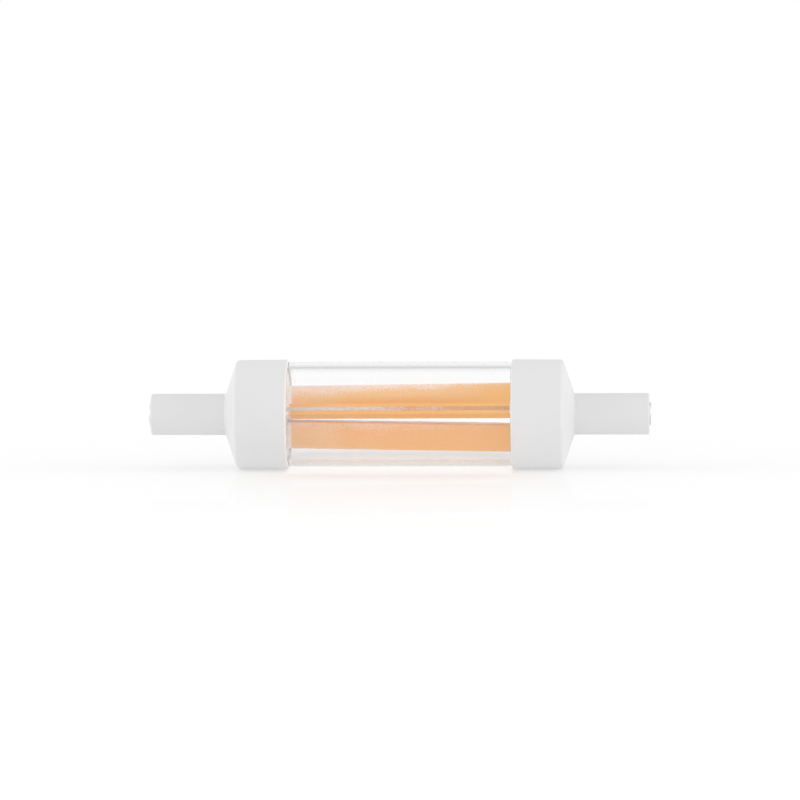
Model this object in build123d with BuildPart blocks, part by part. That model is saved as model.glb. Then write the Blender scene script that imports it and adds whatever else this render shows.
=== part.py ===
"""Double-ended linear LED lamp, 78 mm long.

A clear glass tube is held between two moulded end caps. Each cap narrows to a neck with a metal contact in its
end. Inside the tube three double-sided LED strips stand as a three-armed star, a touch below the tube's axis and
held at both ends in plugs, with a small driver board behind each plug. The lamp lies along X, its centre is the
origin and +Z is up. All lengths are in millimetres and all angles in degrees.
"""
from build123d import *
import os
from math import cos, radians, sin

# Lengths along the lamp
visible_glass = 35.0
skirt_length = 7.85
cone_length = 1.75
neck_length = 11.65
contact_proud = 0.25
glass_engagement = 3.0

# Glass tube
tube_diameter = 16.3
tube_wall = 1.0
tube_edge_chamfer = 0.15

# Moulded end caps
lip_wall = 0.32
skirt_draft = 0.05
cavity_relief = 0.15
neck_diameter = 6.45
neck_bore = 3.0
cone_wall = 1.15
seat_width = 0.8
shoulder_chamfer = 0.25
neck_end_chamfer = 0.2
rim_chamfer = 0.1

# Contact buttons
contact_diameter = 3.65
contact_depth = 1.75
contact_edge_chamfer = 0.15
dish_diameter = 2.2
dish_depth = 0.2
tail_diameter = 1.8
tail_length = 1.0

# LED strips
strip_names = ("front", "upper", "lower")
first_strip_angle = 16.0
strip_inner_radius = 1.32
strip_splay = 1.05
strip_drop = 0.1
strip_width = 4.4
strip_thickness = 0.68
strip_recess = 1.0
phosphor_thickness = 0.49
phosphor_margin = 0.06
phosphor_end_gap = 0.15
phosphor_corner_radius = 0.5
phosphor_edge_chamfer = 0.15

# Flat tags on the strips' ends
tag_width = 1.6
tag_thickness = 0.25
tag_overlap = 1.6

# Strip holders and the adhesive beside them
holder_rim_wall = 0.8
glue_length = 0.2
glue_height = 0.5

# Driver boards and what they carry
board_thickness = 0.8
standoff = 0.8
pin_proud = 0.3
part_margin = 0.5
part_edge_chamfer = 0.15
lead_width = 0.6
lead_thickness = 0.25
lead_reach = 0.4
rectifier_depth = 2.8
rectifier_width = 3.2
rectifier_height = 1.4
rectifier_lead_pitch = 1.9
capacitor_depth = 1.6
capacitor_width = 2.8
capacitor_height = 1.5
regulator_depth = 2.4
regulator_width = 3.2
regulator_height = 1.4
regulator_lead_pitch = 1.0
resistor_depth = 1.25
resistor_width = 2.0
resistor_height = 0.5
resistor_pitch = 1.8

# Wires and the fusible resistor
wire_diameter = 0.6
link_wire_diameter = 0.5
link_wire_offset = 0.9
insulation_diameter = 1.3
bare_wire = 0.6
fuse_diameter = 2.3
fuse_length = 6.0
fuse_end_chamfer = 0.4
fuse_lead = 1.0

# Clearances
tube_gap = 0.03
holder_gap = 0.05
slot_gap = 0.05
board_gap = 0.1
hole_gap = 0.05
glue_gap = 0.02

# Stations along the lamp, measured outwards from its centre
rim_plane = visible_glass / 2
tube_end = rim_plane + glass_engagement
board_inner = tube_end + standoff
board_outer = board_inner + board_thickness
shoulder_plane = rim_plane + skirt_length
neck_root = shoulder_plane + cone_length
neck_end = neck_root + neck_length
contact_face = neck_end + contact_proud
contact_seat = neck_end - contact_depth
tail_end = contact_seat - tail_length
strip_end = tube_end - strip_recess
phosphor_end = rim_plane - phosphor_end_gap
pin_end = board_outer + pin_proud
wire_start = board_inner - pin_proud

# Radii and other sizes that follow from those
tube_radius = tube_diameter / 2
bore_radius = tube_radius - tube_wall
socket_radius = tube_radius + tube_gap
rim_outer = socket_radius + lip_wall
shoulder_outer = rim_outer - skirt_draft
neck_outer = neck_diameter / 2
neck_inner = neck_bore / 2
cavity_radius = bore_radius + cavity_relief
seat_radius = cavity_radius - seat_width
part_reach = seat_radius - part_margin
board_radius = cavity_radius - board_gap
holder_radius = bore_radius - holder_gap
contact_radius = contact_diameter / 2
wire_radius = wire_diameter / 2
strip_centre_radius = strip_inner_radius + strip_width / 2
strip_step = 360 / len(strip_names)
strip_angles = {name: first_strip_angle + strip_step * index for index, name in enumerate(strip_names)}
upper_gap_angle = strip_angles["front"] + strip_step / 2
rear_gap_angle = strip_angles["upper"] + strip_step / 2
lower_gap_angle = strip_angles["lower"] + strip_step / 2
tag_start = strip_end - tag_overlap
tag_length = pin_end - tag_start
glue_radius = bore_radius - glue_gap

sides = {"left": -1, "right": 1}
faces = {"a": 1, "b": -1}


def cone_station(radius):
    """Where the cone's outer face stands at a radius, measured outwards from the lamp's centre."""
    return shoulder_plane + cone_length * (shoulder_outer - radius) / (shoulder_outer - neck_outer)


def radial(angle):
    """Unit vector across the lamp: 0 degrees is the front, along -Y, and 90 degrees is up."""
    return Vector(0, -cos(radians(angle)), sin(radians(angle)))


def profile_plane(sign):
    """Plane of a turned profile: its x runs outwards along the lamp and its y is the radius."""
    return Plane(origin=(0, 0, 0), x_dir=(sign, 0, 0), z_dir=(0, -sign, 0))


def strip_plane(angle):
    """Middle plane of a strip: its x runs along the strip and its y away from the middle of the star."""
    outward = radial(angle)
    along = Vector(1, 0, 0) * cos(radians(strip_splay)) + outward * sin(radians(strip_splay))
    centre = outward * strip_centre_radius - Vector(0, 0, strip_drop)
    return Plane(origin=centre, x_dir=along, z_dir=Vector(1, 0, 0).cross(outward))


def board_plane(sign, station, angle):
    """Plane across the lamp that faces its end, with its x away from the axis at an angle."""
    return Plane(origin=(sign * station, 0, 0), x_dir=radial(angle), z_dir=(sign, 0, 0))


os.makedirs("parts", exist_ok=True)

# Glass tube, with ground edges at both ends
with BuildPart() as glass_tube:
    with BuildSketch(Plane.YZ):
        Circle(tube_radius)
        Circle(bore_radius, mode=Mode.SUBTRACT)
    extrude(amount=tube_end, both=True)
    chamfer(glass_tube.edges().filter_by(GeomType.CIRCLE), length=tube_edge_chamfer)
glass_tube.part.label = "glass_tube"
export_step(glass_tube.part, "parts/glass_tube.step")

# End caps: a thin lip round the glass, a step for the board, a cone and a thick-walled neck
for side, sign in sides.items():
    with BuildPart() as end_cap:
        with BuildSketch(profile_plane(sign)) as cap_section:
            with BuildLine():
                Polyline(
                    (rim_plane, rim_outer),
                    (shoulder_plane, shoulder_outer),
                    (neck_root, neck_outer),
                    (neck_end, neck_outer),
                    (neck_end, contact_radius + tube_gap),
                    (contact_seat, contact_radius + tube_gap),
                    (contact_seat, neck_inner),
                    (cone_station(neck_inner) - cone_wall, neck_inner),
                    (cone_station(seat_radius) - cone_wall, seat_radius),
                    (board_outer, seat_radius),
                    (board_outer, cavity_radius),
                    (tube_end, cavity_radius),
                    (tube_end, socket_radius),
                    (rim_plane, socket_radius),
                    close=True,
                )
            make_face()
            broken_edges = (
                ((rim_plane, rim_outer), rim_chamfer),
                ((shoulder_plane, shoulder_outer), shoulder_chamfer),
                ((neck_end, neck_outer), neck_end_chamfer),
            )
            for corner, size in broken_edges:
                chamfer(cap_section.vertices().sort_by_distance(corner)[0], length=size)
        revolve(axis=Axis.X)
    end_cap.part.label = f"end_cap_{side}"
    export_step(end_cap.part, f"parts/{end_cap.part.label}.step")

# Contact buttons: a dished head in the neck's counterbore and a solder tail in its bore
for side, sign in sides.items():
    with BuildPart() as contact:
        with BuildSketch(profile_plane(sign)) as contact_section:
            with BuildLine():
                Polyline(
                    (contact_face - dish_depth, 0),
                    (tail_end, 0),
                    (tail_end, tail_diameter / 2),
                    (contact_seat, tail_diameter / 2),
                    (contact_seat, contact_radius),
                    (contact_face, contact_radius),
                    (contact_face, dish_diameter / 2),
                )
                TangentArc((contact_face - dish_depth, 0), (contact_face, dish_diameter / 2), tangent=(0, 1))
            make_face()
            head_corner = contact_section.vertices().sort_by_distance((contact_face, contact_radius))[0]
            chamfer(head_corner, length=contact_edge_chamfer)
        revolve(axis=Axis.X)
    contact.part.label = f"contact_{side}"
    export_step(contact.part, f"parts/{contact.part.label}.step")

# Strip substrates, each on its own plane, which leans a little away from the axis towards +X
for name, angle in strip_angles.items():
    with BuildPart() as substrate:
        with BuildSketch(strip_plane(angle)):
            Rectangle(2 * strip_end, strip_width)
        extrude(amount=strip_thickness / 2, both=True)
    substrate.part.label = f"strip_substrate_{name}"
    export_step(substrate.part, f"parts/{substrate.part.label}.step")

# Phosphor coats, moulded on both faces of each substrate, with rounded corners and sloped edges
for name, angle in strip_angles.items():
    for face, face_sign in faces.items():
        with BuildPart() as coat:
            with BuildSketch(strip_plane(angle).offset(face_sign * strip_thickness / 2)):
                RectangleRounded(2 * phosphor_end, strip_width - 2 * phosphor_margin, phosphor_corner_radius)
            extrude(amount=face_sign * phosphor_thickness)
            away = Axis(origin=(0, 0, 0), direction=strip_plane(angle).z_dir * face_sign)
            chamfer(coat.faces().sort_by(away)[-1].edges(), length=phosphor_edge_chamfer)
        coat.part.label = f"phosphor_{name}_{face}"
        export_step(coat.part, f"parts/{coat.part.label}.step")

# Tags: each lies on a substrate's end and passes through the holder and the board
for name, angle in strip_angles.items():
    for side, sign in sides.items():
        with BuildPart() as tag:
            with BuildSketch(strip_plane(angle).offset(strip_thickness / 2)):
                with Locations((sign * (tag_start + tag_length / 2), 0)):
                    Rectangle(tag_length, tag_width)
            extrude(amount=tag_thickness)
        tag.part.label = f"strip_tag_{name}_{side}"
        export_step(tag.part, f"parts/{tag.part.label}.step")

# Strip holders: a plug in the glass, slotted for the strips, with a stand-off rim for the board
for side, sign in sides.items():
    with BuildPart() as holder:
        with BuildSketch(profile_plane(sign)):
            with BuildLine():
                Polyline(
                    (rim_plane, 0),
                    (rim_plane, holder_radius),
                    (board_inner, holder_radius),
                    (board_inner, holder_radius - holder_rim_wall),
                    (tube_end, holder_radius - holder_rim_wall),
                    (tube_end, 0),
                    close=True,
                )
            make_face()
        revolve(axis=Axis.X)
        for angle in strip_angles.values():
            with BuildSketch(strip_plane(angle)):
                Rectangle(2 * pin_end, strip_width + 2 * slot_gap)
            extrude(amount=strip_thickness / 2 + slot_gap, both=True, mode=Mode.SUBTRACT)
            with BuildSketch(strip_plane(angle)):
                with Locations((sign * (tag_start - slot_gap + tag_length / 2), 0)):
                    Rectangle(tag_length, tag_width + 2 * slot_gap)
            extrude(amount=strip_thickness / 2 + tag_thickness + slot_gap, mode=Mode.SUBTRACT)
        with BuildSketch(board_plane(sign, rim_plane, rear_gap_angle)):
            with Locations((link_wire_offset, 0)):
                Circle(link_wire_diameter / 2 + hole_gap)
        extrude(amount=glass_engagement, mode=Mode.SUBTRACT)
    holder.part.label = f"strip_holder_{side}"
    export_step(holder.part, f"parts/{holder.part.label}.step")

# Adhesive beads: a ring of even slope between each holder's face and the glass
for side, sign in sides.items():
    with BuildPart() as bead:
        with BuildSketch(profile_plane(sign)):
            with BuildLine():
                Polyline(
                    (rim_plane - glue_length, glue_radius),
                    (rim_plane, glue_radius),
                    (rim_plane, glue_radius - glue_height),
                    close=True,
                )
            make_face()
        revolve(axis=Axis.X)
    bead.part.label = f"glue_bead_{side}"
    export_step(bead.part, f"parts/{bead.part.label}.step")

# Driver boards: round, with a slot for each tag and holes for the two wires
for side, sign in sides.items():
    with BuildPart() as board:
        with BuildSketch(board_plane(sign, board_inner, rear_gap_angle)):
            Circle(board_radius)
            Circle(wire_radius + hole_gap, mode=Mode.SUBTRACT)
            with Locations((link_wire_offset, 0)):
                Circle(link_wire_diameter / 2 + hole_gap, mode=Mode.SUBTRACT)
        extrude(amount=board_thickness)
        for angle in strip_angles.values():
            with BuildSketch(strip_plane(angle).offset(strip_thickness / 2 - slot_gap)):
                with Locations((sign * (tag_start + tag_length / 2), 0)):
                    Rectangle(tag_length, tag_width + 2 * slot_gap)
            extrude(amount=tag_thickness + 2 * slot_gap, mode=Mode.SUBTRACT)
    board.part.label = f"driver_board_{side}"
    export_step(board.part, f"parts/{board.part.label}.step")

# Bridge rectifier, with two leads on each of its inner and outer sides
left_top_plane = board_plane(-1, board_outer, upper_gap_angle)
rectifier_centre = part_reach - lead_reach - rectifier_depth / 2
with BuildPart() as bridge_rectifier:
    with BuildSketch(left_top_plane):
        with Locations((rectifier_centre, 0)):
            Rectangle(rectifier_depth, rectifier_width)
    extrude(amount=rectifier_height)
    chamfer(bridge_rectifier.faces().sort_by(Axis.X)[0].edges(), length=part_edge_chamfer)
    with BuildSketch(left_top_plane):
        with Locations((rectifier_centre, 0)):
            with GridLocations(0, rectifier_lead_pitch, 1, 2):
                Rectangle(rectifier_depth + 2 * lead_reach, lead_width)
    extrude(amount=lead_thickness)
bridge_rectifier.part.label = "bridge_rectifier"
export_step(bridge_rectifier.part, "parts/bridge_rectifier.step")

# Line capacitor
with BuildPart() as line_capacitor:
    with BuildSketch(board_plane(-1, board_outer, lower_gap_angle)):
        with Locations((part_reach - capacitor_depth / 2, 0)):
            Rectangle(capacitor_depth, capacitor_width)
    extrude(amount=capacitor_height)
    chamfer(line_capacitor.faces().sort_by(Axis.X)[0].edges(), length=part_edge_chamfer)
line_capacitor.part.label = "line_capacitor"
export_step(line_capacitor.part, "parts/line_capacitor.step")

# Current regulator, with three leads towards the axis and a heat tab on its outer side
right_top_plane = board_plane(1, board_outer, upper_gap_angle)
regulator_centre = part_reach - lead_reach - regulator_depth / 2
with BuildPart() as current_regulator:
    with BuildSketch(right_top_plane):
        with Locations((regulator_centre, 0)):
            Rectangle(regulator_depth, regulator_width)
    extrude(amount=regulator_height)
    chamfer(current_regulator.faces().sort_by(Axis.X)[-1].edges(), length=part_edge_chamfer)
    with BuildSketch(right_top_plane):
        with Locations((regulator_centre - lead_reach / 2, 0)):
            with GridLocations(0, regulator_lead_pitch, 1, 3):
                Rectangle(regulator_depth + lead_reach, lead_width)
        with Locations((regulator_centre + lead_reach / 2, 0)):
            Rectangle(regulator_depth + lead_reach, regulator_width / 2)
    extrude(amount=lead_thickness)
current_regulator.part.label = "current_regulator"
export_step(current_regulator.part, "parts/current_regulator.step")

# Sense resistors, two chips side by side
with BuildPart() as sense_resistors:
    with BuildSketch(board_plane(1, board_outer, lower_gap_angle)):
        with Locations((part_reach - (resistor_pitch + resistor_depth) / 2, 0)):
            with GridLocations(resistor_pitch, 0, 2, 1):
                Rectangle(resistor_depth, resistor_width)
    extrude(amount=resistor_height)
sense_resistors.part.label = "sense_resistors"
export_step(sense_resistors.part, "parts/sense_resistors.step")

# Link wire, which joins the two boards behind the front strip
with BuildPart() as link_wire:
    with BuildSketch(board_plane(1, -pin_end, rear_gap_angle)):
        with Locations((link_wire_offset, 0)):
            Circle(link_wire_diameter / 2)
    extrude(amount=2 * pin_end)
link_wire.part.label = "link_wire"
export_step(link_wire.part, "parts/link_wire.step")

# Fusible resistor in the left neck: its leads reach the board and the contact's tail
fuse_outer = tail_end - fuse_lead
fuse_inner = fuse_outer - fuse_length
with BuildPart() as fusible_resistor:
    with BuildSketch(profile_plane(-1)) as fuse_section:
        with BuildLine():
            Polyline(
                (wire_start, 0),
                (wire_start, wire_radius),
                (fuse_inner, wire_radius),
                (fuse_inner, fuse_diameter / 2),
                (fuse_outer, fuse_diameter / 2),
                (fuse_outer, wire_radius),
                (tail_end, wire_radius),
                (tail_end, 0),
                close=True,
            )
        make_face()
        for station in (fuse_inner, fuse_outer):
            body_corner = fuse_section.vertices().sort_by_distance((station, fuse_diameter / 2))[0]
            chamfer(body_corner, length=fuse_end_chamfer)
    revolve(axis=Axis.X)
fusible_resistor.part.label = "fusible_resistor"
export_step(fusible_resistor.part, "parts/fusible_resistor.step")

# Contact wire in the right neck, insulated between its bare ends
with BuildPart() as contact_wire:
    with BuildSketch(profile_plane(1)):
        with BuildLine():
            Polyline(
                (wire_start, 0),
                (wire_start, wire_radius),
                (board_outer + bare_wire, wire_radius),
                (board_outer + bare_wire, insulation_diameter / 2),
                (tail_end - bare_wire, insulation_diameter / 2),
                (tail_end - bare_wire, wire_radius),
                (tail_end, wire_radius),
                (tail_end, 0),
                close=True,
            )
        make_face()
    revolve(axis=Axis.X)
contact_wire.part.label = "contact_wire"
export_step(contact_wire.part, "parts/contact_wire.step")
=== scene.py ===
"""Dresses a double-ended linear LED lamp and lights it as on a pale studio table.

Everything is in metres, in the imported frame: X runs along the lamp, Z is up and the viewer stands towards -Y.
"""
import logging
import math
from dataclasses import dataclass, field
from enum import Enum
from typing import Any, Iterable, Mapping, Optional, Sequence, Tuple, Union

import bmesh
import bpy
from mathutils import Matrix, Vector, noise


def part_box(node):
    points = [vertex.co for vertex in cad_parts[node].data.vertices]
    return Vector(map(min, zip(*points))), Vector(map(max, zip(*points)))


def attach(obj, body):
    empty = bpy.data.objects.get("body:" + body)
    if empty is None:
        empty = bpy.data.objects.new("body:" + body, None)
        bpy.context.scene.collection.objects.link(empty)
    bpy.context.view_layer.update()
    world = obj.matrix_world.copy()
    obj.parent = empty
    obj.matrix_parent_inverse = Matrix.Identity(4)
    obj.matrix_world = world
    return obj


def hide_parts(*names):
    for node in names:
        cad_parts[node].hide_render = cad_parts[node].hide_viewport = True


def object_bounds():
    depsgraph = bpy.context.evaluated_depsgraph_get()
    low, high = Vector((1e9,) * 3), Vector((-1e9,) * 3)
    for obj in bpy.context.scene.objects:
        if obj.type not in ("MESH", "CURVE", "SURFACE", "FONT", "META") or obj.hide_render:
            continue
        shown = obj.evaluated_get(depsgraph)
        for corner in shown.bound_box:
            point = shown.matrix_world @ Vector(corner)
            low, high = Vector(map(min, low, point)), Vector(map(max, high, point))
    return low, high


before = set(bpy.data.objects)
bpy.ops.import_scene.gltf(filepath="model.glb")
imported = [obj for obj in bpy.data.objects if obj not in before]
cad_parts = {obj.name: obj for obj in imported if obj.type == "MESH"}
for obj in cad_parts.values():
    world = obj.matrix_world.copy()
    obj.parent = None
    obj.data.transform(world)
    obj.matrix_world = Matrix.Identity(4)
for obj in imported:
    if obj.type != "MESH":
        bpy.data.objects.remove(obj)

Colour = Tuple[float, float, float, float]
Outline = Sequence[Tuple[float, float]]
Ring = Tuple[float, float, float]
Number = Union[float, "Link"]

CAD_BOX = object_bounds()
BODY = "root"
MM = 0.001
RING_TOLERANCE = 0.004 * MM
RIGHTWARDS = Vector((1, 0, 0))
ORIGIN = Vector()
LOG = logging.getLogger("lamp")


class Side(Enum):
    """An end of the lamp, with the sign of its X."""

    LEFT = -1
    RIGHT = 1

    @property
    def word(self) -> str:
        """The side's name as the frame's nodes spell it."""
        return self.name.lower()


class StripPlace(Enum):
    """Where each LED strip stands in the star."""

    FRONT = "front"
    UPPER = "upper"
    LOWER = "lower"


class Face(Enum):
    """A broad face of a strip, with the sign of its normal."""

    A = 1
    B = -1


def paint(red: int, green: int, blue: int) -> Colour:
    """Turns a colour of 0 to 255 per channel, as a screen shows it, into Blender's linear numbers.

    Args:
        red: Red channel.
        green: Green channel.
        blue: Blue channel.

    Returns:
        The linear colour with a full alpha.
    """
    channels = []
    for level in (red, green, blue):
        share = level / 255
        channels.append(share / 12.92 if share <= 0.04045 else ((share + 0.055) / 1.055) ** 2.4)
    return (channels[0], channels[1], channels[2], 1.0)


WHITE = paint(255, 255, 255)


class Link:
    """An output socket that takes part in sums: each operator adds the Math node that it stands for."""

    def __init__(self, sheet: "Sheet", socket: bpy.types.NodeSocket) -> None:
        """Keeps the sheet that the socket is on.

        Args:
            sheet: The node sheet.
            socket: The output socket.
        """
        self.sheet = sheet
        self.socket = socket

    def __add__(self, other: Number) -> "Link":
        """Sum of the two."""
        return self.sheet.maths("ADD", self, other)

    __radd__ = __add__

    def __sub__(self, other: Number) -> "Link":
        """This less the other."""
        return self.sheet.maths("SUBTRACT", self, other)

    def __rsub__(self, other: Number) -> "Link":
        """The other less this."""
        return self.sheet.maths("SUBTRACT", other, self)

    def __mul__(self, other: Number) -> "Link":
        """Product of the two."""
        return self.sheet.maths("MULTIPLY", self, other)

    __rmul__ = __mul__

    def __abs__(self) -> "Link":
        """Size without its sign."""
        return self.sheet.maths("ABSOLUTE", self)

    def larger(self, other: Number) -> "Link":
        """The larger of the two."""
        return self.sheet.maths("MAXIMUM", self, other)

    def between(self, low: float, high: float, ease: str = "SMOOTHSTEP") -> "Link":
        """Rises from 0 to 1 as this goes from low to high.

        Args:
            low: Value that gives 0.
            high: Value that gives 1.
            ease: How it rises.

        Returns:
            The share.
        """
        settings = {"interpolation_type": ease}
        values = {"Value": self, "From Min": low, "From Max": high}
        return Link(self.sheet, self.sheet.node("ShaderNodeMapRange", settings, values).outputs["Result"])


class Sheet:
    """A tree of shader nodes, with one method that adds any kind of node."""

    def __init__(self, owner: Union[bpy.types.Material, bpy.types.World]) -> None:
        """Empties the owner's tree.

        Args:
            owner: The material or world whose nodes these are.
        """
        self.owner = owner
        owner.use_nodes = True
        self.tree = owner.node_tree
        self.tree.nodes.clear()

    def node(
        self,
        kind: str,
        settings: Optional[Mapping[str, Any]] = None,
        values: Optional[Mapping[Union[str, int], Any]] = None,
    ) -> bpy.types.Node:
        """Adds a node, sets it up and feeds its sockets.

        Args:
            kind: The node's type.
            settings: Its properties.
            values: Numbers, colours or links for its input sockets.

        Returns:
            The new node.
        """
        made = self.tree.nodes.new(kind)
        for name, value in (settings or {}).items():
            setattr(made, name, value)
        for name, value in (values or {}).items():
            if isinstance(value, Link):
                self.tree.links.new(value.socket, made.inputs[name])
            else:
                made.inputs[name].default_value = value
        return made

    def link(self, node: bpy.types.Node, output: Union[str, int] = 0) -> Link:
        """Wraps one output of a node."""
        return Link(self, node.outputs[output])

    def maths(self, operation: str, *terms: Number) -> Link:
        """Adds a Math node on one or two numbers."""
        return self.link(self.node("ShaderNodeMath", {"operation": operation}, dict(enumerate(terms))))

    def blend(self, share: Number, low: Union[Colour, Link], high: Union[Colour, Link]) -> Link:
        """Mixes two colours.

        Args:
            share: How much of the high colour shows.
            low: Colour at 0.
            high: Colour at 1.

        Returns:
            The mixed colour.
        """
        mixed = self.node("ShaderNodeMix", {"data_type": "RGBA"}, {0: share, 6: low, 7: high})
        return self.link(mixed, 2)

    def place(self) -> Link:
        """Object coordinates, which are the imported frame's own."""
        return self.link(self.node("ShaderNodeTexCoord"), "Object")

    def along(self, direction: Vector, origin: Vector, unit: float = 1.0) -> Link:
        """Distance of a point from an origin, along a direction.

        Args:
            direction: Unit vector of the direction.
            origin: Point where the distance is 0.
            unit: Length that counts as 1.

        Returns:
            The distance in that unit.
        """
        scaled = direction / unit
        dot = self.node("ShaderNodeVectorMath", {"operation": "DOT_PRODUCT"}, {0: self.place(), 1: scaled})
        return self.link(dot, "Value") - scaled.dot(origin)

    def grain(self, size: float, detail: float = 2.0, stretch: Vector = Vector((1, 1, 1))) -> Link:
        """Noise whose patches are about a size across.

        Args:
            size: Width of a patch.
            detail: How many finer layers it has.
            stretch: How much longer a patch is along each axis.

        Returns:
            A number about 0.5.
        """
        scale = Vector((1 / stretch.x, 1 / stretch.y, 1 / stretch.z)) / size
        placed = self.node("ShaderNodeMapping", None, {"Vector": self.place(), "Scale": scale})
        values = {"Vector": self.link(placed), "Scale": 1.0, "Detail": detail}
        return self.link(self.node("ShaderNodeTexNoise", None, values), "Fac")

    def bump(self, height: Link, distance: float, strength: float = 1.0) -> Link:
        """Turns a height into a surface's normal."""
        values = {"Height": height, "Distance": distance, "Strength": strength}
        return self.link(self.node("ShaderNodeBump", None, values))

    def principled(self, values: Mapping[str, Any]) -> Link:
        """Adds a Principled shader."""
        return self.link(self.node("ShaderNodeBsdfPrincipled", None, values))

    def mixed(self, share: Number, low: Link, high: Link) -> Link:
        """Mixes two shaders."""
        return self.link(self.node("ShaderNodeMixShader", None, {0: share, 1: low, 2: high}))

    def finish(self, surface: Link, volume: Optional[Link] = None) -> bpy.types.Material:
        """Feeds the material's output.

        Args:
            surface: The surface's shader.
            volume: The shader of what is inside, if any.

        Returns:
            The material.
        """
        values = {"Surface": surface}
        if volume is not None:
            values["Volume"] = volume
        self.node("ShaderNodeOutputMaterial", None, values)
        return self.owner


def new_sheet(name: str) -> Sheet:
    """Starts a material by name."""
    return Sheet(bpy.data.materials.new(name))


@dataclass(frozen=True)
class StripSpace:
    """The place of one LED strip: a box that leans a little away from the lamp's axis."""

    centre: Vector
    along: Vector
    across: Vector
    normal: Vector
    length: float
    width: float
    thickness: float

    @classmethod
    def of(cls, place: StripPlace) -> "StripSpace":
        """Reads the strip's box from its packed substrate.

        Args:
            place: Which strip.

        Returns:
            Its centre, directions and sizes.
        """
        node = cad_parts["strip_substrate_" + place.value]
        corners = {tuple(round(value, 7) for value in vertex.co) for vertex in node.data.vertices}
        points = [Vector(corner) for corner in sorted(corners)]
        centre = sum(points, Vector()) / len(points)
        first = points[0]
        arms = sorted((point - first for point in points[1:]), key=lambda arm: arm.length)
        thickness, width = arms[0], arms[1]
        upright = (arm for arm in arms[2:] if abs(arm.dot(thickness)) < 1e-9 and abs(arm.dot(width)) < 1e-8)
        length = next(upright)
        along = length.normalized()
        if along.x < 0:
            along.negate()
        across = width.normalized()
        if across.dot(centre) < 0:
            across.negate()
        return cls(centre, along, across, along.cross(across), length.length, width.length, thickness.length)

    def matrix(self) -> Matrix:
        """Takes a point from the strip's own axes to the frame's."""
        turned = Matrix((self.along, self.across, self.normal)).transposed().to_4x4()
        return Matrix.Translation(self.centre) @ turned


@dataclass(frozen=True)
class MouldedPlastic:
    """Matt white moulding compound with a fine eroded texture."""

    name: str = "moulded_white"
    colour: Colour = paint(231, 230, 230)
    cool: Colour = paint(229, 229, 229)
    shaded_neck: Colour = paint(228, 227, 227)
    neck_shade_start: float = 26.6 * MM
    neck_shade_full: float = 27.4 * MM
    roughness: float = 0.55
    texture_size: float = 0.12 * MM
    texture_depth: float = 0.004 * MM
    cloud_size: float = 6 * MM
    cloud_range: Tuple[float, float] = (0.35, 0.65)

    def material(self) -> bpy.types.Material:
        """Builds the finish: faint clouds in the tone, necks painted a little darker as painted shade, and a
        fine grain in the surface.
        """
        sheet = new_sheet(self.name)
        cloud = sheet.grain(self.cloud_size).between(*self.cloud_range)
        tone = sheet.blend(cloud, self.colour, self.cool)
        outwards = abs(sheet.along(RIGHTWARDS, ORIGIN))
        # Painted shade: beyond the cones the necks are painted a little darker than the skirts.
        tone = sheet.blend(outwards.between(self.neck_shade_start, self.neck_shade_full), tone, self.shaded_neck)
        texture = sheet.grain(self.texture_size, 4.0)
        rough = self.roughness + 0.08 * (texture - 0.5)
        normal = sheet.bump(texture, self.texture_depth, 0.6)
        return sheet.finish(sheet.principled({"Base Color": tone, "Roughness": rough, "Normal": normal}))


@dataclass(frozen=True)
class ClearGlass:
    """Drawn glass: it refracts for the eye, and lets light through to what is inside it."""

    name: str = "clear_glass"
    index: float = 1.5
    tint: Colour = paint(214, 222, 222)
    density: float = 9.0

    def material(self) -> bpy.types.Material:
        """Builds the finish from a clear refracting surface and a faint tint in the wall."""
        sheet = new_sheet(self.name)
        values = {"Base Color": WHITE, "Roughness": 0.0, "IOR": self.index, "Transmission Weight": 1.0}
        path = sheet.node("ShaderNodeLightPath")
        passing = sheet.link(path, "Is Shadow Ray").larger(sheet.link(path, "Is Diffuse Ray"))
        clear = sheet.link(sheet.node("ShaderNodeBsdfTransparent"))
        tinting = {"Color": self.tint, "Density": self.density}
        wall = sheet.link(sheet.node("ShaderNodeVolumeAbsorption", None, tinting))
        return sheet.finish(sheet.mixed(passing, sheet.principled(values), clear), wall)


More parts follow.
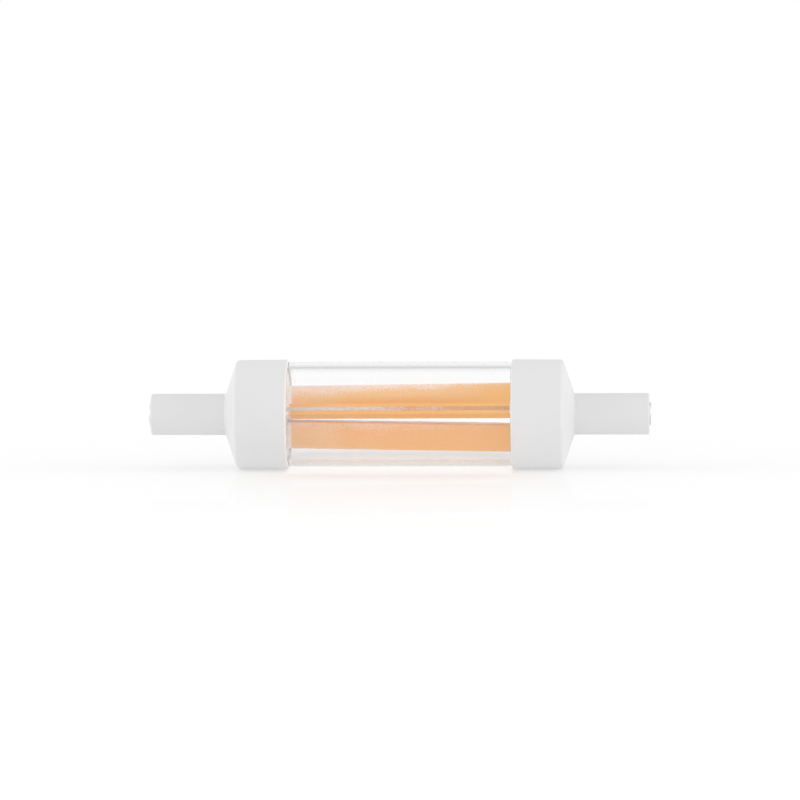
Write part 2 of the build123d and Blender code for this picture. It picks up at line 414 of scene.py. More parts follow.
@dataclass(frozen=True)
class Phosphor:
    """Orange phosphor in silicone: cloudy and grainy, deeper at its root, with painted sheen and light along
    its edges, and a tone towards each end that is partly its own and partly painted light.
    """

    space: StripSpace
    name: str
    deep: Colour
    body: Colour
    # Tone at the right end: partly the coat's own colour, partly painted light.
    right: Colour
    sheen_side: int = 1
    frost: float = 0.0
    sheen_start: float = 0.2
    second_frost: float = 0.0
    paling_and_light: float = 0.0
    pale: Colour = paint(255, 214, 170)
    edge: Colour = paint(254, 226, 214)
    speck: Colour = paint(255, 244, 238)
    cloud_size: float = 2.5 * MM
    grain_size: float = 0.2 * MM
    speck_size: float = 0.19 * MM
    bump_depth: float = 0.03 * MM
    lean: float = 0.3
    cloud_range: Tuple[float, float] = (0.3, 0.7)
    root_range: Tuple[float, float] = (-0.2, 0.9)
    right_range: Tuple[float, float] = (0.3, 0.95)
    paling_and_light_range: Tuple[float, float] = (0.1, 1.0)
    sheen_spread: float = 0.7
    other_edge_range: Tuple[float, float] = (0.95, 1.25)
    end_range: Tuple[float, float] = (16.5, 17.15)
    end_share: float = 0.75
    speck_range: Tuple[float, float] = (0.6, 0.68)
    speck_edge: Tuple[float, float] = (-0.4, 0.9)
    speck_least: float = 0.07
    speck_gain: float = 0.6

    def material(self) -> bpy.types.Material:
        """Builds the finish in the strip's own directions."""
        sheet = new_sheet(self.name)
        half_width = self.space.width / 2
        half_length = self.space.length / 2
        out = sheet.along(self.space.across * self.sheen_side, self.space.centre, half_width)
        cloud = sheet.grain(self.cloud_size, 3.0, Vector((2.5, 1, 1))).between(*self.cloud_range)
        fine = sheet.grain(self.grain_size, 3.0, Vector((1.4, 1, 1)))
        left = sheet.along(-RIGHTWARDS, ORIGIN, half_length)
        leaning = self.lean * left
        root = (0.15 * (cloud - 0.5) - out).between(*self.root_range)
        tone = sheet.blend(root, self.body, self.deep)
        # Towards the right end the tone turns to the right colour: partly the coat's own colour, partly painted
        # light against the shade of the cap.
        tone = sheet.blend((0.0 - left).between(*self.right_range), tone, self.right)
        # Paler towards the left end: partly the coat's own paler tone, partly painted light against the shade
        # of the cap.
        paling_and_light = (left + 0.3 * (cloud - 0.5)).between(*self.paling_and_light_range) * self.paling_and_light
        tone = sheet.blend(paling_and_light, tone, self.pale)
        rough = 2.2 * (fine - 0.5) + 0.3 * (cloud - 0.5)
        # Painted sheen and light along the edge on the sheen side: on the upper strip its outer edge, on the
        # lower strip its inner edge, which lies in shade between the strips.
        rim = (out + rough + leaning).between(self.sheen_start, self.sheen_start + self.sheen_spread)
        tone = sheet.blend(rim * self.frost, tone, self.edge)
        # Painted sheen on the opposite edge, which is rounded.
        second = (0.4 * rough - out + leaning).between(*self.other_edge_range)
        tone = sheet.blend(second * self.second_frost, tone, self.edge)
        end = (left * (half_length / MM) + 0.5 * (fine - 0.5)).between(*self.end_range)
        tone = sheet.blend(end * self.end_share, tone, self.edge)
        dots = sheet.grain(self.speck_size, 0.0).between(*self.speck_range)
        edge_side = (out + leaning).between(*self.speck_edge)
        share = self.speck_least + self.speck_gain * self.frost**2 * edge_side
        tone = sheet.blend(dots * share, tone, self.speck)
        normal = sheet.bump(fine, self.bump_depth, 0.8)
        values = {"Base Color": tone, "Roughness": 0.5 + 0.2 * (fine - 0.5), "Normal": normal}
        return sheet.finish(sheet.principled(values))


@dataclass(frozen=True)
class EdgeSilicone:
    """The uneven film along a strip's bare edge: lilac-grey silicone over brown flecks."""

    name: str = "edge_silicone"
    pale: Colour = paint(228, 206, 196)
    brown: Colour = paint(220, 158, 108)
    size: float = 0.13 * MM
    stretch: float = 5.0
    drift_size: float = 4 * MM
    drift_gain: float = 0.7
    reach: float = 17 * MM
    browning: float = 0.12
    spread: Tuple[float, float] = (0.35, 0.65)
    bump_depth: float = 0.05 * MM

    def material(self) -> bpy.types.Material:
        """Builds the finish from long flecks, which turn browner towards the lamp's right end."""
        sheet = new_sheet(self.name)
        flecks = sheet.grain(self.size, 3.0, Vector((self.stretch, 1, 1)))
        drift = sheet.grain(self.drift_size, 1.0, Vector((2, 1, 1)))
        right = sheet.along(RIGHTWARDS, ORIGIN, self.reach)
        share = (flecks + self.drift_gain * (drift - 0.5) + self.browning * right).between(*self.spread)
        tone = sheet.blend(share, self.pale, self.brown)
        normal = sheet.bump(flecks, self.bump_depth, 0.8)
        return sheet.finish(sheet.principled({"Base Color": tone, "Roughness": 0.35, "Normal": normal}))


@dataclass(frozen=True)
class PlainFinish:
    """A finish of one tone with a grain: ceramic, laminate, epoxy, adhesive or enamel."""

    name: str
    colour: Colour
    second: Colour
    roughness: float = 0.5
    size: float = 0.4 * MM
    depth: float = 0.01 * MM
    spread: Tuple[float, float] = (0.4, 0.65)
    alpha: float = 1.0

    def material(self) -> bpy.types.Material:
        """Builds the finish: two tones by a grain that also roughens the surface."""
        sheet = new_sheet(self.name)
        pattern = sheet.grain(self.size, 3.0)
        tone = sheet.blend(pattern.between(*self.spread), self.colour, self.second)
        values = {
            "Base Color": tone,
            "Roughness": self.roughness + 0.1 * (pattern - 0.5),
            "Normal": sheet.bump(pattern, self.depth, 0.5),
            "Alpha": self.alpha,
        }
        return sheet.finish(sheet.principled(values))


@dataclass(frozen=True)
class TurnedMetal:
    """Plated metal with fine turning rings about the lamp's axis."""

    name: str
    colour: Colour
    dull: Colour
    roughness: float = 0.32
    ring: float = 0.09 * MM
    node_period: float = 0.314
    patch_size: float = 0.6 * MM
    ring_depth: float = 0.004 * MM

    def material(self) -> bpy.types.Material:
        """Builds the finish: rings by the distance from the axis, and patches of dullness."""
        sheet = new_sheet(self.name)
        rings = sheet.node(
            "ShaderNodeTexWave",
            {"wave_type": "RINGS", "rings_direction": "X"},
            {"Vector": sheet.place(), "Scale": self.node_period / self.ring, "Distortion": 0.4},
        )
        patches = sheet.grain(self.patch_size, 3.0)
        values = {
            "Base Color": sheet.blend(patches.between(0.35, 0.7), self.colour, self.dull),
            "Metallic": 1.0,
            "Roughness": self.roughness + 0.25 * (patches - 0.5),
            "Normal": sheet.bump(sheet.link(rings, "Fac"), self.ring_depth, 0.5),
        }
        return sheet.finish(sheet.principled(values))


def add_piece(
    name: str,
    mesh: bmesh.types.BMesh,
    material: bpy.types.Material,
    stands_for: Sequence[str] = (),
    weighted: bool = True,
) -> None:
    """Makes a finished piece of a mesh and hangs it on the lamp.

    Args:
        name: The piece's name.
        mesh: Its shape, which is freed.
        material: Its finish.
        stands_for: Nodes that it takes the place of.
        weighted: Whether broad faces keep their own shading beside small ones.
    """
    bmesh.ops.recalc_face_normals(mesh, faces=mesh.faces)
    data = bpy.data.meshes.new(name)
    mesh.to_mesh(data)
    mesh.free()
    data.shade_smooth()
    data.set_sharp_from_angle(angle=math.radians(35))
    data.materials.append(material)
    piece = bpy.data.objects.new(name, data)
    bpy.context.scene.collection.objects.link(piece)
    if weighted:
        modifier = piece.modifiers.new("weighted", "WEIGHTED_NORMAL")
        modifier.keep_sharp = True
    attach(piece, BODY)
    if stands_for:
        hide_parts(*stands_for)
    LOG.info("piece %s: %d faces", name, len(data.polygons))


def slab(length: float, width: float, height: float) -> bmesh.types.BMesh:
    """Makes a box about the origin.

    Args:
        length: Its size along X.
        width: Its size along Y.
        height: Its size along Z.

    Returns:
        The box's mesh.
    """
    mesh = bmesh.new()
    bmesh.ops.create_cube(mesh, size=1.0)
    bmesh.ops.scale(mesh, vec=(length, width, height), verts=mesh.verts)
    return mesh


def rounded(mesh: bmesh.types.BMesh, edges: Sequence[bmesh.types.BMEdge], size: float, segments: int) -> None:
    """Rounds some edges of a mesh.

    Args:
        mesh: The mesh.
        edges: The edges to round.
        size: Width taken off each face.
        segments: Faces across the rounding.
    """
    settings = {"profile": 0.5, "affect": "EDGES", "material": -1}
    bmesh.ops.bevel(mesh, geom=edges, offset=size, segments=segments, **settings)


def turned_over(mesh: bmesh.types.BMesh) -> None:
    """Turns a mesh half round about X, top to bottom."""
    bmesh.ops.rotate(mesh, cent=(0, 0, 0), matrix=Matrix.Rotation(math.pi, 3, "X"), verts=mesh.verts)


def round_the_axis(point: Vector, waves: float, seed: float) -> Vector:
    """Place in the noise that belongs to a point's angle about the lamp's axis.

    Args:
        point: The point.
        waves: How many waves stand round the axis.
        seed: Third coordinate, which sets one ring's noise apart from another's.

    Returns:
        The place in the noise.
    """
    angle = math.atan2(point.z, point.y)
    return Vector((waves * math.cos(angle), waves * math.sin(angle), seed))


def turned(outline: Outline, side: Side, steps: int = 160) -> bmesh.types.BMesh:
    """Turns a closed outline about the lamp's axis.

    Args:
        outline: Stations outwards from the lamp's centre, each with its radius.
        side: The end of the lamp that the stations run towards.
        steps: Faces round the axis.

    Returns:
        The turned mesh, closed.
    """
    mesh = bmesh.new()
    points = [mesh.verts.new((side.value * station, 0.0, radius)) for station, radius in outline]
    edges = [mesh.edges.new((a, b)) for a, b in zip(points, points[1:] + points[:1])]
    wire = points + edges
    bmesh.ops.spin(mesh, geom=wire, axis=(1, 0, 0), angle=2 * math.pi, steps=steps, use_merge=True)
    bmesh.ops.remove_doubles(mesh, verts=mesh.verts, dist=1e-7)
    bmesh.ops.dissolve_degenerate(mesh, dist=1e-8, edges=mesh.edges)
    return mesh


def round_rings(mesh: bmesh.types.BMesh, rings: Iterable[Ring], segments: int = 5) -> None:
    """Rounds the circular edges of a turned mesh.

    Args:
        mesh: The turned mesh.
        rings: Station, radius and rounding of each edge; the station has its sign.
        segments: Faces across each rounding.
    """
    for station, radius, size in rings:
        ring = []
        for edge in mesh.edges:
            ends = [(abs(v.co.x - station), abs(math.hypot(v.co.y, v.co.z) - radius)) for v in edge.verts]
            if max(max(pair) for pair in ends) < RING_TOLERANCE:
                ring.append(edge)
        rounded(mesh, ring, size, segments)


def sliced(mesh: bmesh.types.BMesh, axis: Vector, start: float, end: float, count: int) -> None:
    """Cuts a mesh across an axis at even steps, so that it can be bent.

    Args:
        mesh: The mesh.
        axis: Direction of the steps.
        start: First end of the stretch.
        end: Last end of the stretch.
        count: Number of parts.
    """
    for index in range(1, count):
        everything = [*mesh.verts, *mesh.edges, *mesh.faces]
        point = axis * (start + (end - start) * index / count)
        bmesh.ops.bisect_plane(mesh, geom=everything, dist=1e-8, plane_co=point, plane_no=axis)


@dataclass
class EndCap:
    """One moulded end cap with its contact button."""

    side: Side
    plastic: bpy.types.Material
    nickel: bpy.types.Material
    skirt_length: float = 7.85 * MM
    cone_length: float = 1.75 * MM
    skirt_draft: float = 0.05 * MM
    socket_gap: float = 0.03 * MM
    lip_gap: float = 0.006 * MM
    neck_radius: float = 3.225 * MM
    neck_bore: float = 1.5 * MM
    contact_depth: float = 1.75 * MM
    contact_proud: float = 0.25 * MM
    cone_wall: float = 1.15 * MM
    seat_width: float = 0.8 * MM
    board_gap: float = 0.1 * MM
    shoulder_round: float = 0.42 * MM
    neck_round: float = 0.3 * MM
    rim_round: float = 0.12 * MM
    root_round: float = 0.18 * MM
    dish_radius: float = 1.1 * MM
    dish_depth: float = 0.2 * MM
    tail_radius: float = 0.9 * MM
    contact_round: float = 0.2 * MM
    dish_steps: int = 6
    contact_steps: int = 96

    def build(self) -> None:
        """Builds the cap and its contact."""
        self.build_cap()
        self.build_contact()

    def cone_station(self, radius: float, shoulder: float, rim_radius: float) -> float:
        """Where the cone's outer face stands at a radius."""
        top = rim_radius - self.skirt_draft
        return shoulder + self.cone_length * (top - radius) / (top - self.neck_radius)

    def build_cap(self) -> None:
        """Turns the shell from the rim round the glass to the end of the neck."""
        word = self.side.word
        low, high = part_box("end_cap_right")
        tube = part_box("glass_tube")[1]
        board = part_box("driver_board_right")
        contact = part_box("contact_right")[1]
        rim, neck_end, rim_radius = low.x, high.x, high.z
        shoulder = rim + self.skirt_length
        root = shoulder + self.cone_length
        shoulder_radius = rim_radius - self.skirt_draft
        socket = tube.z + self.lip_gap
        cavity = board[1].z + self.board_gap
        seat = cavity - self.seat_width
        hole = contact.z + self.socket_gap
        inner_cone = [
            (self.cone_station(radius, shoulder, rim_radius) - self.cone_wall, radius)
            for radius in (self.neck_bore, seat)
        ]
        outline = [
            (rim, rim_radius),
            (shoulder, shoulder_radius),
            (root, self.neck_radius),
            (neck_end, self.neck_radius),
            (neck_end, hole),
            (neck_end - self.contact_depth, hole),
            (neck_end - self.contact_depth, self.neck_bore),
            *inner_cone,
            (board[1].x, seat),
            (board[1].x, cavity),
            (tube.x, cavity),
            (tube.x, socket),
            (rim, socket),
        ]
        mesh = turned(outline, self.side)
        sign = self.side.value
        rings = (
            (sign * rim, rim_radius, self.rim_round),
            (sign * shoulder, shoulder_radius, self.shoulder_round),
            (sign * root, self.neck_radius, self.root_round),
            (sign * neck_end, self.neck_radius, self.neck_round),
        )
        round_rings(mesh, rings)
        add_piece("cap_" + word, mesh, self.plastic, ["end_cap_" + word])

    def build_contact(self) -> None:
        """Turns the button with its dished face and its tail."""
        low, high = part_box("contact_right")
        face, radius = high.x, high.z
        seat = face - self.contact_proud - self.contact_depth
        shares = [index / self.dish_steps for index in range(self.dish_steps + 1)]
        dish = [(face - self.dish_depth * math.cos(math.pi / 2 * s), self.dish_radius * s) for s in shares]
        body = [(face, radius), (seat, radius)]
        tail = [(seat, self.tail_radius), (low.x, self.tail_radius), (low.x, 0.0)]
        mesh = turned([*dish, *body, *tail], self.side, self.contact_steps)
        round_rings(mesh, ((self.side.value * face, radius, self.contact_round),), 4)
        word = self.side.word
        add_piece("button_" + word, mesh, self.nickel, ["contact_" + word])


@dataclass
class GlassEnvelope:
    """The clear tube, the adhesive beads inside its ends and the seams along the caps' rims."""

    glass: bpy.types.Material
    adhesive: bpy.types.Material
    seam: bpy.types.Material
    tube_steps: int = 256
    bore_gap: float = 0.02 * MM
    end_stretch: float = 1.5 * MM
    edge_round: float = 0.18 * MM
    bead_steps: int = 144
    bead_height: float = 0.5 * MM
    bead_profile: Outline = ((0.0, 1.0), (0.3, 0.6), (0.65, 0.25), (1.0, 0.05))
    bead_unevenness: float = 0.07 * MM
    bead_waves: float = 3.0
    seam_steps: int = 240
    seam_gap: float = 0.004 * MM
    seam_sink: float = 0.05 * MM
    seam_height: float = 0.2 * MM
    seam_profile: Outline = ((1.0, 0.0), (0.7, 0.35), (0.3, 0.75), (0.0, 1.0))
    seam_waves: float = 9.0
    seam_left: float = 0.22 * MM
    seam_right: float = 0.1 * MM

    def build(self) -> None:
        """Builds the tube, its beads and its seams."""
        self.build_tube()
        for side in Side:
            self.build_bead(side)
            self.build_seam(side)

    def bore(self) -> float:
        """Inner radius of the tube, from the bead that lies against it."""
        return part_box("glue_bead_right")[1].z

    def build_tube(self) -> None:
        """Turns the tube's wall and rounds its ends."""
        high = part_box("glass_tube")[1]
        bore = self.bore() + self.bore_gap
        end, radius = high.x, high.z
        near = end - self.end_stretch
        outline = [(-end, radius), (-near, radius), (near, radius), (end, radius)]
        outline += [(end, bore), (near, bore), (-near, bore), (-end, bore)]
        mesh = turned(outline, Side.RIGHT, self.tube_steps)
        rings = [(sign * end, size, self.edge_round) for sign in (-1, 1) for size in (radius, bore)]
        round_rings(mesh, rings, 4)
        add_piece("envelope", mesh, self.glass, ["glass_tube"])

    def build_bead(self, side: Side) -> None:
        """Turns a bead of adhesive and pushes its free edge about unevenly.

        Args:
            side: The end of the tube.
        """
        low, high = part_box("glue_bead_right")
        bore = self.bore()
        length = high.x - low.x
        rim = high.x
        height = self.bead_height
        free_edge = [(rim - share * length, bore - part * height) for share, part in self.bead_profile]
        mesh = turned([(rim, bore), *free_edge, (rim - length, bore)], side, self.bead_steps)
        for vertex in mesh.verts:
            radius = math.hypot(vertex.co.y, vertex.co.z)
            depth = (rim - abs(vertex.co.x)) / length
            spot = round_the_axis(vertex.co, self.bead_waves, 7.0 * side.value)
            wave = noise.noise(spot) + 0.5 * noise.noise(spot * 3.1)
            if depth > 0.1:
                vertex.co.x -= side.value * self.bead_unevenness * wave * depth
            if radius < bore - 0.1 * MM:
                pull = 1 + 1.6 * self.bead_unevenness * noise.noise(spot * 2.3) / radius
                vertex.co.y *= pull
                vertex.co.z *= pull
        word = side.word
        add_piece("bead_" + word, mesh, self.adhesive, ["glue_bead_" + word], False)

    def build_seam(self, side: Side) -> None:
        """Turns the uneven line of adhesive on the glass along the cap's rim.

        Args:
            side: The end of the tube.
        """
        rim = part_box("end_cap_right")[0].x
        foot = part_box("glass_tube")[1].z + self.seam_gap
        width = self.seam_left if side is Side.LEFT else self.seam_right
        height = self.seam_height
        buried = rim + self.seam_sink
        free_edge = [(rim - share * width, foot + part * height) for share, part in self.seam_profile]
        mesh = turned([(buried, foot), *free_edge, (buried, foot + height)], side, self.seam_steps)
        for vertex in mesh.verts:
            share = (rim - abs(vertex.co.x)) / width
            spot = round_the_axis(vertex.co, self.seam_waves, 3.0 * side.value)
            wave = noise.noise(spot) + 0.6 * noise.noise(spot * 2.7)
            if share > 0:
                vertex.co.x += side.value * 0.25 * width * share * wave
        add_piece("seam_" + side.word, mesh, self.seam, (), False)


@dataclass
class LedStrip:
    """One strip of the star: its coats, the films along its edges and the collars that hold its ends."""

    place: StripPlace
    phosphor: bpy.types.Material
    silicone: bpy.types.Material
    pale_silicone: bpy.types.Material
    space: StripSpace
    coat_thickness: float = 0.53 * MM
    coat_sink: float = 0.04 * MM
    outer_lap: float = 0.03 * MM
    near_lap: float = 0.15 * MM
    far_lap: float = 0.0
    trim_left: float = 0.3 * MM
    trim_right: float = 0.03 * MM
    corner_round: float = 0.28 * MM
    edge_round: float = 0.22 * MM
    ripple: float = 0.035 * MM
    ripple_scale: float = 900.0
    edge_scale: float = 450.0
    edge_part: float = 0.85
    coat_steps: int = 90
    coat_rows: int = 8
    film_trim: float = 0.3 * MM
    film_share: float = 0.84
    film_depth: float = 0.07 * MM
    film_sink: float = 0.03 * MM
    film_scale: float = 2600.0
    film_steps: int = 170
    film_rows: int = 6
    collar_height: float = 0.44 * MM
    collar_sink: float = 0.12 * MM
    collar_round: float = 0.08 * MM

    def build(self) -> None:
        """Builds the coats, films and collars."""
        for face in Face:
            self.build_coat(face)
        self.build_film("film_", 1, self.silicone)
        self.build_film("inner_film_", -1, self.pale_silicone)
        for side in Side:
            self.build_collar(side)

    def coat_length(self) -> float:
        """Length of a coat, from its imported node."""
        low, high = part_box(f"phosphor_{self.place.value}_a")
        return high.x - low.x

    def build_coat(self, face: Face) -> None:
        """Shapes a coat as a slab with rounded corners and edges and a slight ripple.

        Args:
            face: The side of the strip.
        """
        length = self.coat_length() - (self.trim_left + self.trim_right)
        inner_lap = self.near_lap if self.space.normal.y * face.value < 0 else self.far_lap
        width = self.space.width + self.outer_lap + inner_lap
        mesh = slab(length, width, self.coat_thickness)
        upright = [e for e in mesh.edges if abs(e.verts[0].co.z - e.verts[1].co.z) > self.coat_thickness / 2]
        rounded(mesh, upright, self.corner_round, 4)
        top = [e for e in mesh.edges if all(v.co.z > 0 for v in e.verts)]
        rounded(mesh, top, self.edge_round, 3)
        sliced(mesh, Vector((1, 0, 0)), -length / 2, length / 2, self.coat_steps)
        sliced(mesh, Vector((0, 1, 0)), -width / 2, width / 2, self.coat_rows)
        seed = 11.0 * (1 + list(StripPlace).index(self.place)) + face.value
        for vertex in mesh.verts:
            spot = Vector((vertex.co.x * self.ripple_scale, vertex.co.y * self.ripple_scale, seed))
            if vertex.co.z > 0:
                vertex.co.z += self.ripple * noise.noise(spot)
            share = abs(vertex.co.y) / (width / 2)
            if share > self.edge_part:
                slow = Vector((vertex.co.x * self.edge_scale, math.copysign(3.0, vertex.co.y), seed))
                vertex.co.y += math.copysign(1.0, vertex.co.y) * self.ripple * noise.noise(slow)
        shift = (self.trim_left - self.trim_right) / 2
        lift = self.space.thickness / 2 + self.coat_thickness / 2 - self.coat_sink
        bmesh.ops.translate(mesh, vec=(shift, 0, lift), verts=mesh.verts)
        if face is Face.B:
            turned_over(mesh)
        bmesh.ops.translate(mesh, vec=(0, (self.outer_lap - inner_lap) / 2, 0), verts=mesh.verts)
        bmesh.ops.transform(mesh, matrix=self.space.matrix(), verts=mesh.verts)
        tag = f"{self.place.value}_{face.name.lower()}"
        add_piece("coat_" + tag, mesh, self.phosphor, ["phosphor_" + tag], False)

    def build_film(self, name: str, edge: int, material: bpy.types.Material) -> None:
        """Lays an uneven film on one edge of the substrate, between the coats.

        Args:
            name: First part of the piece's name.
            edge: 1 for the outer edge, -1 for the inner one.
            material: Its finish.
        """
        length = self.coat_length() - self.film_trim
        half_height = self.space.thickness / 2
        mesh = slab(length, self.film_depth + self.film_sink, self.space.thickness * self.film_share)
        sliced(mesh, Vector((1, 0, 0)), -length / 2, length / 2, self.film_steps)
        sliced(mesh, Vector((0, 0, 1)), -half_height, half_height, self.film_rows)
        seed = 5.0 + edge + 3 * list(StripPlace).index(self.place)
        for vertex in mesh.verts:
            if vertex.co.y > 0:
                spot = Vector((vertex.co.x * self.film_scale, vertex.co.z * 2 * self.film_scale, seed))
                vertex.co.y += self.film_depth * (0.9 * noise.noise(spot) + 0.4 * noise.noise(spot * 2.7))
                vertex.co.y -= 0.35 * self.film_depth * (vertex.co.z / half_height) ** 2
        if edge < 0:
            turned_over(mesh)
        middle = edge * (self.space.width / 2 + (self.film_depth - self.film_sink) / 2)
        bmesh.ops.translate(mesh, vec=(0, middle, 0), verts=mesh.verts)
        bmesh.ops.transform(mesh, matrix=self.space.matrix(), verts=mesh.verts)
        add_piece(name + self.place.value, mesh, material, (), False)

    def build_collar(self, side: Side) -> None:
        """Fills the gap between the coats' end and the holder with a pale block round the strip.

        Args:
            side: The end of the lamp.
        """
        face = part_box("strip_holder_right")[0].x
        trim = self.trim_left if side is Side.LEFT else self.trim_right
        start = self.coat_length() / 2 - trim - self.collar_sink
        length = face + self.collar_sink - start
        mesh = slab(length, self.space.width, self.space.thickness + 2 * self.collar_height)
        rounded(mesh, list(mesh.edges), self.collar_round, 2)
        bmesh.ops.translate(mesh, vec=(side.value * (start + length / 2), 0, 0), verts=mesh.verts)
        bmesh.ops.transform(mesh, matrix=self.space.matrix(), verts=mesh.verts)
        name = f"collar_{self.place.value}_{side.word}"
        add_piece(name, mesh, self.pale_silicone, (), False)


@dataclass
class InnerParts:
    """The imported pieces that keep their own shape: they only get a finish."""

    finishes: Mapping[str, bpy.types.Material]

    def dress(self) -> None:
        """Gives each listed group of nodes its finish."""
        for start, material in self.finishes.items():
            for name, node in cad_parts.items():
                if name.startswith(start):
                    node.data.materials.clear()
                    node.data.materials.append(material)
                    LOG.info("dressed %s with %s", name, material.name)


@dataclass
class Studio:
    """The pale table, the soft lights, the white surround and the camera."""

    level: float = 1.01
    zenith_level: float = 0.82
    high_grey: float = 0.56
    high_start: float = 0.30
    high_end: float = 0.72
    overhead_start: float = 0.2
    behind_start: float = 0.3
    behind_end: float = 0.7
    table_reach: float = 1.5
    floor_white: float = 1.02
    floor_over: float = 1.03
    floor_share: float = 0.8
    floor_share_bright: float = 0.25
    floor_share_beside: float = 1.0
    floor_share_away: float = 0.3
    floor_share_under: float = 0.75
    floor_cool_shade: Colour = (0.85, 0.885, 0.93, 1.0)
    beside_start: float = 2 * MM
    beside_end: float = 5.5 * MM
    bright_start: float = 5 * MM
    bright_end: float = 10 * MM
    away_start: float = 25 * MM
    away_end: float = 100 * MM
    cap_start: float = 17 * MM
    cap_end: float = 18 * MM
    under_start: float = 8 * MM
    under_end: float = 20 * MM
    bounce_share: float = 0.30
    bounce_white: float = 0.96
    mirror: float = 0.22
    mirror_index: float = 1.45
    mirror_roughness: float = 0.04
    mirror_fade: float = 90 * MM
    side_power: float = 0.75
    side_size: float = 0.5
    side_reach: float = 0.6
    side_front: float = -0.10
    side_height: float = 0.12
    camera_azimuth: float = 2.85
    camera_elevation: float = 6.5
    camera_distance: float = 0.8534
    camera_lens: float = 247.0
    camera_sensor: float = 36.0
    camera_roll: float = -0.41
    aim: Vector = field(default_factory=lambda: Vector((0.0, 0.0, 2.2 * MM)))

    def build(self) -> None:
        """Builds the whole studio."""
        self.build_world()
        self.build_floor()
        for side in Side:
            self.build_light(side)
        self.build_camera()
        bpy.context.scene.view_settings.view_transform = "Standard"

    def build_world(self) -> None:
        """Makes the surround: white to look at, plain as a light, and greyer high up behind the lamp."""
        world = bpy.data.worlds.new("surround")
        bpy.context.scene.world = world
        sheet = Sheet(world)
        path = sheet.node("ShaderNodeLightPath")
        towards = sheet.link(sheet.node("ShaderNodeTexCoord"), "Generated")
        direction = sheet.node("ShaderNodeSeparateXYZ", None, {0: towards})
        height = sheet.link(direction, "Z").between(self.high_start, self.high_end, "LINEAR")
        overhead = sheet.link(direction, "Z").between(self.overhead_start, 1.0)
        behind = sheet.link(direction, "Y").between(self.behind_start, self.behind_end)
        glimpsed = 1.0 - (1.0 - self.high_grey) * height * behind
        diffuse = sheet.link(path, "Is Diffuse Ray")
        camera = sheet.link(path, "Is Camera Ray")
        seen = camera + (1.0 - camera) * glimpsed
        soft = self.level * (1.0 - (1.0 - self.zenith_level) * overhead)
        strength = diffuse * soft + (1.0 - diffuse) * seen
        surround = sheet.node("ShaderNodeBackground", None, {"Color": WHITE, "Strength": strength})
        sheet.node("ShaderNodeOutputWorld", None, {"Surface": sheet.link(surround)})

    def build_floor(self) -> None:
        """Lays the glossy white table top, which keeps the lamp's shadow and mirrors it faintly."""
        mesh = bmesh.new()
        bmesh.ops.create_grid(mesh, x_segments=1, y_segments=1, size=self.table_reach)
        bmesh.ops.translate(mesh, vec=(0, 0, CAD_BOX[0].z), verts=mesh.verts)
        data = bpy.data.meshes.new("table_top")
        mesh.to_mesh(data)
        mesh.free()
        floor = bpy.data.objects.new("table_top", data)
        bpy.context.scene.collection.objects.link(floor)
        data.materials.append(self.table_finish())

    def table_finish(self) -> bpy.types.Material:
        """Builds the table's white, which takes more or less of the shadow by its place round the lamp.

        Returns:
            The material.
        """
        sheet = new_sheet("table_white")
        path = sheet.node("ShaderNodeLightPath")
        towards = sheet.along(Vector((0, -1, 0)), ORIGIN)
        near = self.glowing(sheet, self.floor_share, self.floor_white)
        away = self.glowing(sheet, self.floor_share_away, self.floor_over)
        far = sheet.mixed(abs(towards).between(self.away_start, self.away_end), near, away)
        beside = self.glowing(sheet, self.floor_share_beside, self.floor_white)
        bright = self.glowing(sheet, self.floor_share_bright, self.floor_over)
        # Painted cool shade: under the tube, as seen through the glass, the matt part is tinted cool grey,
        # which darkens it and cancels the strips' orange bounce.
        under = self.glowing(sheet, self.floor_share_under, self.floor_white, self.floor_cool_shade)
        by_caps = abs(sheet.along(RIGHTWARDS, ORIGIN)).between(self.cap_start, self.cap_end)
        by_caps_far = abs(towards).between(self.beside_start, self.beside_end)
        by_tube_far = abs(towards).between(self.bright_start, self.bright_end)
        by_caps_floor = sheet.mixed(by_caps_far, beside, far)
        facing = sheet.mixed(by_caps, sheet.mixed(by_tube_far, bright, far), by_caps_floor)
        through = sheet.mixed(abs(towards).between(self.under_start, self.under_end), under, far)
        table = sheet.mixed(sheet.link(path, "Is Transmission Ray"), facing, through)
        glossy = {"Color": WHITE, "Roughness": self.mirror_roughness}
        gloss = sheet.link(sheet.node("ShaderNodeBsdfGlossy", None, glossy))
        fade = 1.0 - towards.between(0.0, self.mirror_fade)
        shine = sheet.link(sheet.node("ShaderNodeFresnel", None, {"IOR": self.mirror_index}))
        seen = sheet.mixed(fade * shine * self.mirror, table, gloss)
        bounce = self.glowing(sheet, self.bounce_share, self.bounce_white)
        return sheet.finish(sheet.mixed(sheet.link(path, "Is Diffuse Ray"), seen, bounce))

    @staticmethod
    def glowing(sheet: Sheet, share: float, total: float, tint: Colour = WHITE) -> Link:
        """Matt white of which a share takes the light and the shadow, and the rest shines by itself.

        Args:
            sheet: The node sheet.
            share: Brightness of the matt part.
            total: Brightness of both parts together in full light.
            tint: Colour of the matt part.

        Returns:
            The two added together.
        """
        matt = tuple(share * channel for channel in tint[:3]) + (1.0,)
        shaded = sheet.link(sheet.node("ShaderNodeBsdfDiffuse", None, {"Color": matt}))
        glow = sheet.link(sheet.node("ShaderNodeEmission", None, {"Color": WHITE, "Strength": total - share}))
        return sheet.link(sheet.node("ShaderNodeAddShader", None, {0: shaded, 1: glow}))

    def build_light(self, side: Side) -> None:
        """Hangs a broad soft light beside the lamp.

        Args:
            side: The side that it hangs on.
        """
        data = bpy.data.lights.new("soft_" + side.word, "AREA")
        data.shape = "DISK"
        data.size = self.side_size
        data.energy = self.side_power
        light = bpy.data.objects.new("soft_" + side.word, data)
        place = Vector((side.value * self.side_reach, self.side_front, self.side_height))
        turn = (-place).to_track_quat("-Z", "Y").to_matrix().to_4x4()
        light.matrix_world = Matrix.Translation(place) @ turn
        bpy.context.scene.collection.objects.link(light)

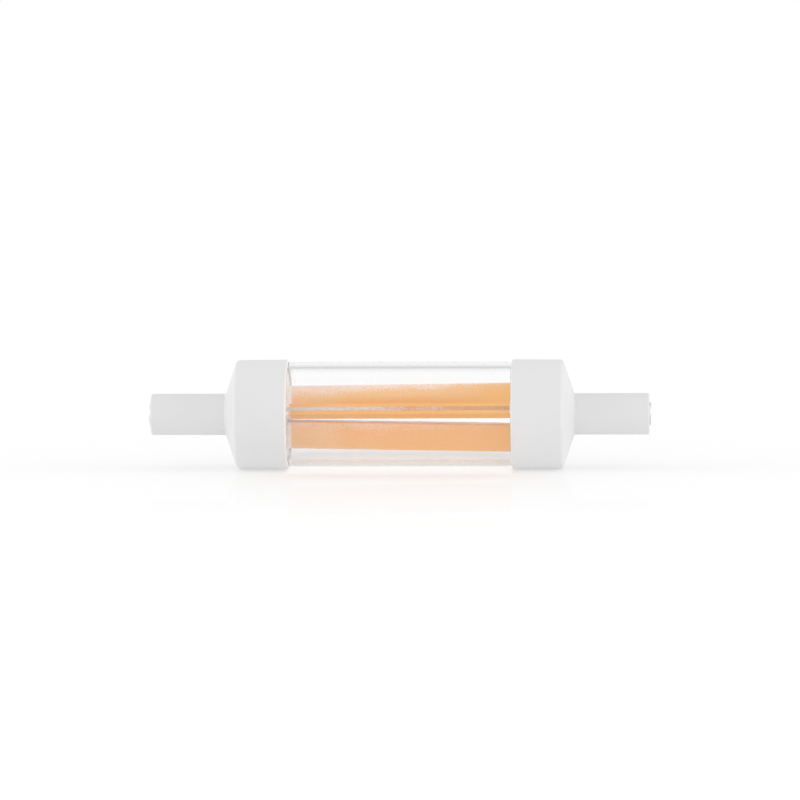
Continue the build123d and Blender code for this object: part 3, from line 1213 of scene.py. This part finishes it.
    def build_camera(self) -> None:
        """Places the camera at the photograph's viewing angle."""
        data = bpy.data.cameras.new("camera")
        data.lens = self.camera_lens
        data.sensor_width = self.camera_sensor
        data.clip_start = 0.01
        camera = bpy.data.objects.new("camera", data)
        azimuth = math.radians(self.camera_azimuth)
        elevation = math.radians(self.camera_elevation)
        level = math.cos(elevation)
        back = Vector((math.sin(azimuth) * level, -math.cos(azimuth) * level, math.sin(elevation)))
        turn = (-back).to_track_quat("-Z", "Y").to_matrix().to_4x4()
        roll = Matrix.Rotation(math.radians(self.camera_roll), 4, "Z")
        camera.matrix_world = Matrix.Translation(self.aim + back * self.camera_distance) @ turn @ roll
        bpy.context.scene.collection.objects.link(camera)
        bpy.context.scene.camera = camera


def coat_finish(place: StripPlace, space: StripSpace) -> Phosphor:
    """Chooses how one strip's coats look.

    Args:
        place: Which strip.
        space: Its box.

    Returns:
        The finish of its coats.
    """
    # The third tone of each strip is its right-end tone: partly its own colour, partly painted light.
    tones = {
        StripPlace.FRONT: (paint(254, 188, 104), paint(248, 178, 92), paint(255, 194, 104)),
        StripPlace.UPPER: (paint(243, 170, 86), paint(249, 195, 130), paint(255, 192, 104)),
        StripPlace.LOWER: (paint(251, 188, 122), paint(251, 188, 122), paint(255, 194, 124)),
    }
    looks = {
        StripPlace.FRONT: {"paling_and_light": 0.15},
        StripPlace.UPPER: {"frost": 1.0, "sheen_start": 0.25, "paling_and_light": 0.5},
        StripPlace.LOWER: {
            "sheen_side": -1,
            "frost": 0.55,
            "sheen_start": 0.55,
            "second_frost": 0.7,
            "paling_and_light": 0.6,
        },
    }
    return Phosphor(space, "phosphor_" + place.value, *tones[place], **looks[place])


def inner_finishes() -> Mapping[str, bpy.types.Material]:
    """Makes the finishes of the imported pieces.

    Returns:
        Each finish by the start of its nodes' names.
    """
    tin = TurnedMetal("tinned", paint(200, 200, 196), paint(170, 170, 166)).material()
    epoxy = PlainFinish("epoxy", paint(40, 40, 42), paint(58, 58, 60), 0.55).material()
    plain = {
        "strip_substrate": PlainFinish("ceramic", paint(240, 226, 218), paint(228, 206, 194), 0.5),
        "strip_holder": PlainFinish("pale_moulding", paint(244, 243, 244), paint(234, 232, 231), 0.4),
        "driver_board": PlainFinish("laminate", paint(222, 226, 220), paint(208, 214, 206), 0.45),
        "line_capacitor": PlainFinish("tan_ceramic", paint(190, 156, 116), paint(172, 138, 98), 0.35),
        "fusible_resistor": PlainFinish("enamel", paint(150, 178, 196), paint(132, 160, 180), 0.5),
        "contact_wire": PlainFinish("wire_rubber", paint(214, 208, 200), paint(200, 192, 184), 0.6),
    }
    finishes = {start: finish.material() for start, finish in plain.items()}
    finishes.update(dict.fromkeys(("strip_tag", "link_wire"), tin))
    finishes.update(dict.fromkeys(("bridge_rectifier", "current_regulator", "sense_resistors"), epoxy))
    return finishes


def build_lamp() -> None:
    """Builds and dresses every piece of the lamp."""
    plastic = MouldedPlastic().material()
    nickel = TurnedMetal("contact_plate", paint(226, 225, 224), paint(208, 207, 205)).material()
    for side in Side:
        EndCap(side, plastic, nickel).build()
    clear, hazy = paint(252, 252, 253), paint(240, 237, 236)
    adhesive = PlainFinish("adhesive", clear, hazy, 0.3, 0.5 * MM, 0.03 * MM, (0.5, 0.75), 0.5)
    clear, hazy = paint(242, 241, 242), paint(224, 220, 218)
    seam = PlainFinish("rim_adhesive", clear, hazy, 0.5, 0.35 * MM, 0.05 * MM, (0.6, 0.78))
    GlassEnvelope(ClearGlass().material(), adhesive.material(), seam.material()).build()
    silicone = EdgeSilicone().material()
    pale = PlainFinish("pale_silicone", paint(255, 248, 244), paint(252, 232, 222), 0.4, 0.3 * MM).material()
    for place in StripPlace:
        space = StripSpace.of(place)
        LedStrip(place, coat_finish(place, space).material(), silicone, pale, space).build()
    InnerParts(inner_finishes()).dress()


def main() -> None:
    """Builds the studio and the lamp."""
    logging.basicConfig(level=logging.INFO, format="%(name)s: %(message)s")
    Studio().build()
    build_lamp()


if __name__ == "__main__":
    main()
